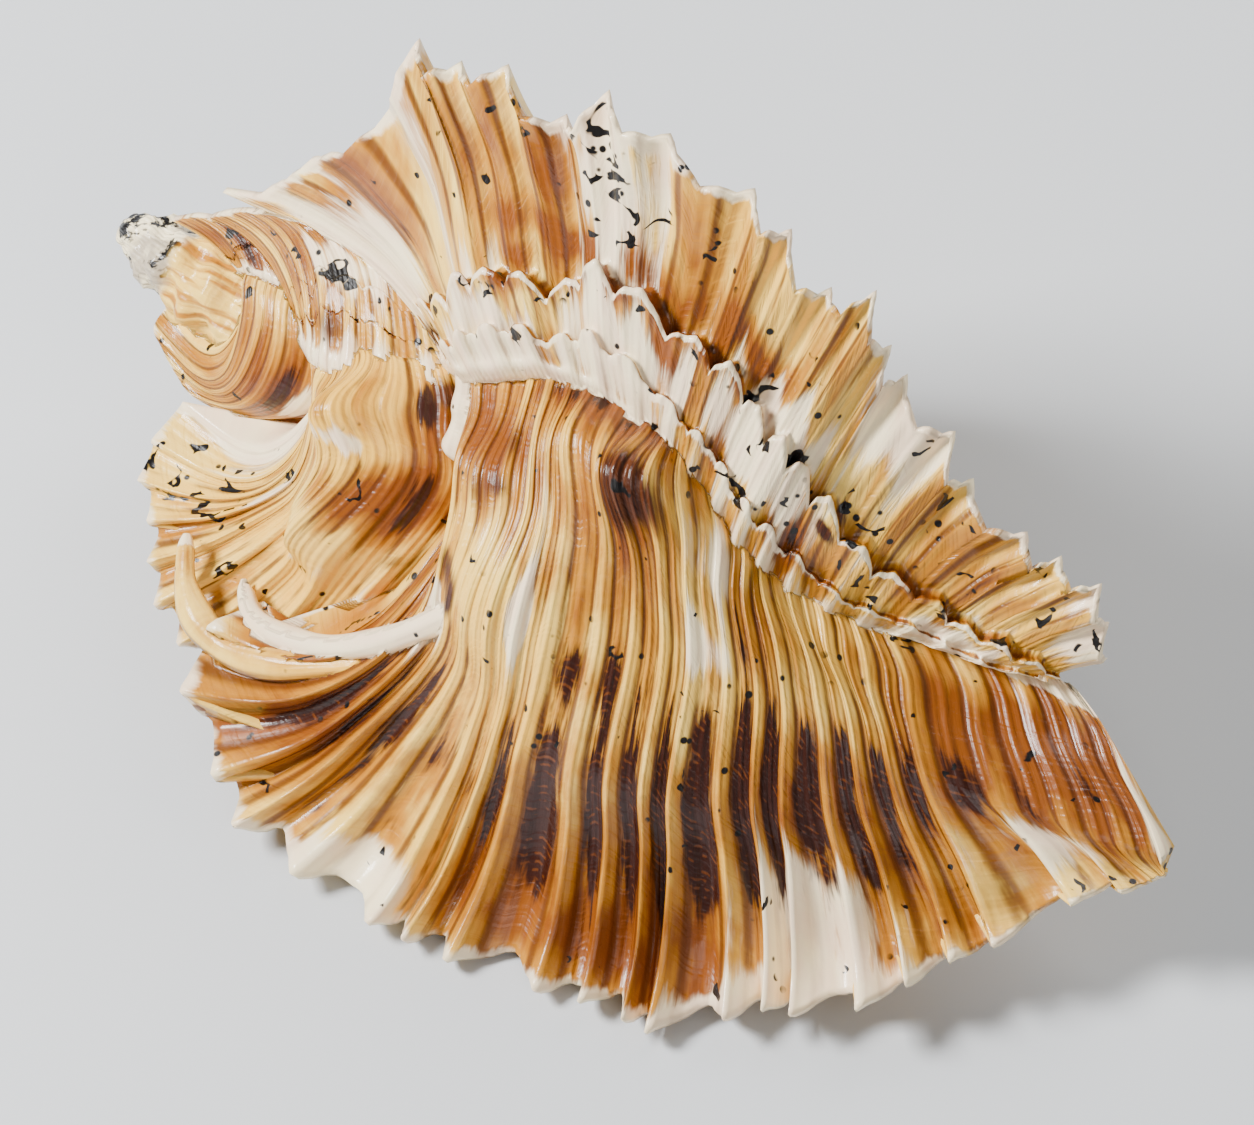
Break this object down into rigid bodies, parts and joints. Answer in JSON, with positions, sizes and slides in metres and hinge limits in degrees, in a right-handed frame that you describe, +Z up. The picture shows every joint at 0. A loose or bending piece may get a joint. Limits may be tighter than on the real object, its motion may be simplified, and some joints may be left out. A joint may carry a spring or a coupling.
{
  "type": "murex shell",
  "caption": "Leafy murex sea shell lying on its wing edges: three rows of frilled, ribbed wing-like varices, knobbed whorls, closed canal and an oval mouth below.",
  "frame": {"origin": "centre of the bounding box's underside, on the surface the shell lies on", "axes": "+X along the shell axis from the apex towards the canal end, +Z up as the shell lies, -Y towards the outer lip's wing"},
  "size_m": [0.0846, 0.0524, 0.0479],
  "materials": {
    "shell": "glossy worn shell, cream to honey and dark brown in bands"
  },
  "bodies": {
    "root": {"shell": "shell"}
  },
  "joints": []
}
